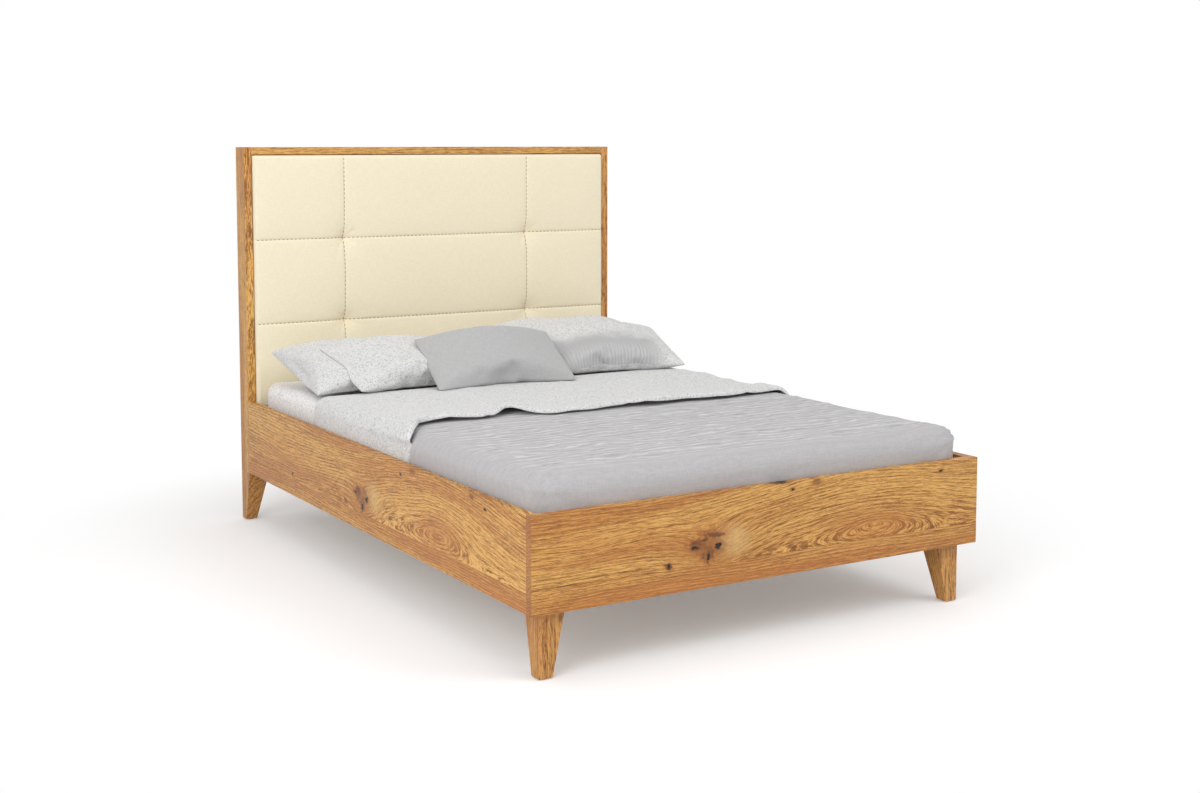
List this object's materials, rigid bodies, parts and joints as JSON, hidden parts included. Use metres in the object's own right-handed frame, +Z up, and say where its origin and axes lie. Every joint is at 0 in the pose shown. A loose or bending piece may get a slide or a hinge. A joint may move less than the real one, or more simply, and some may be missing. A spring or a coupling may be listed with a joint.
{
  "type": "panel bed",
  "caption": "Low oak panel bed on tapered legs, with plain side and foot panels and a framed, tufted fabric headboard, made up with a mattress, folded duvet and pillows.",
  "frame": {"origin": "on the floor, under the centre of the frame's outline", "axes": "+X to the bed's right seen from its foot, +Y from the foot to the headboard, +Z up"},
  "size_m": [1.46, 2.122, 1.306],
  "materials": {
    "oak": "oiled solid oak with knots, satin",
    "base_wood": "planed softwood, matt",
    "back_board": "oak-faced board, satin",
    "panel_board": "pressed board, matt",
    "upholstery": "cream woven cover over foam",
    "mattress_cloth": "off-white fitted sheet",
    "bedding_grey": "grey ribbed cotton",
    "bedding_light": "near-white cotton with a fine grey speckle",
    "bedding_two_tone": "near-white cotton with a grey ribbed lower front",
    "webbing": "woven polyester strap",
    "bracket_steel": "black powder coat",
    "bolt_steel": "zinc-plated steel",
    "glide": "black polyamide"
  },
  "bodies": {
    "root": {"beam_hanger_foot": "bracket_steel", "beam_hanger_head": "bracket_steel", "bracket_bolts": "bolt_steel", "bracket_foot_left": "bracket_steel", "bracket_foot_right": "bracket_steel", "bracket_head_left": "bracket_steel", "bracket_head_right": "bracket_steel", "centre_beam": "base_wood", "centre_leg": "base_wood", "centre_leg_foot": "glide", "centre_leg_plate": "bracket_steel", "corner_block_foot_left": "base_wood", "corner_block_foot_right": "base_wood", "corner_block_head_left": "base_wood", "corner_block_head_right": "base_wood", "cushion_batten_lower": "base_wood", "cushion_batten_upper": "base_wood", "cushion_board": "panel_board", "duvet": "bedding_grey", "duvet_turnback": "bedding_light", "foot_panel": "oak", "headboard_back_panel": "back_board", "headboard_cushion": "upholstery", "headboard_lower_board": "oak", "headboard_post_left": "oak", "headboard_post_right": "oak", "headboard_tenons": "base_wood", "headboard_top_rail": "oak", "leg_bolts": "bolt_steel", "leg_foot_left": "oak", "leg_foot_right": "oak", "leg_glides": "glide", "leg_head_left": "oak", "leg_head_right": "oak", "mattress": "mattress_cloth", "pillow_1": "bedding_light", "pillow_2": "bedding_light", "pillow_3": "bedding_grey", "pillow_4": "bedding_light", "pillow_5": "bedding_two_tone", "side_rail_left": "oak", "side_rail_right": "oak", "slat_01": "base_wood", "slat_02": "base_wood", "slat_03": "base_wood", "slat_04": "base_wood", "slat_05": "base_wood", "slat_06": "base_wood", "slat_07": "base_wood", "slat_08": "base_wood", "slat_09": "base_wood", "slat_10": "base_wood", "slat_11": "base_wood", "slat_12": "base_wood", "slat_13": "base_wood", "slat_14": "base_wood", "slat_cleat_left": "base_wood", "slat_cleat_right": "base_wood", "slat_webbing_left": "webbing", "slat_webbing_right": "webbing"}
  },
  "joints": []
}
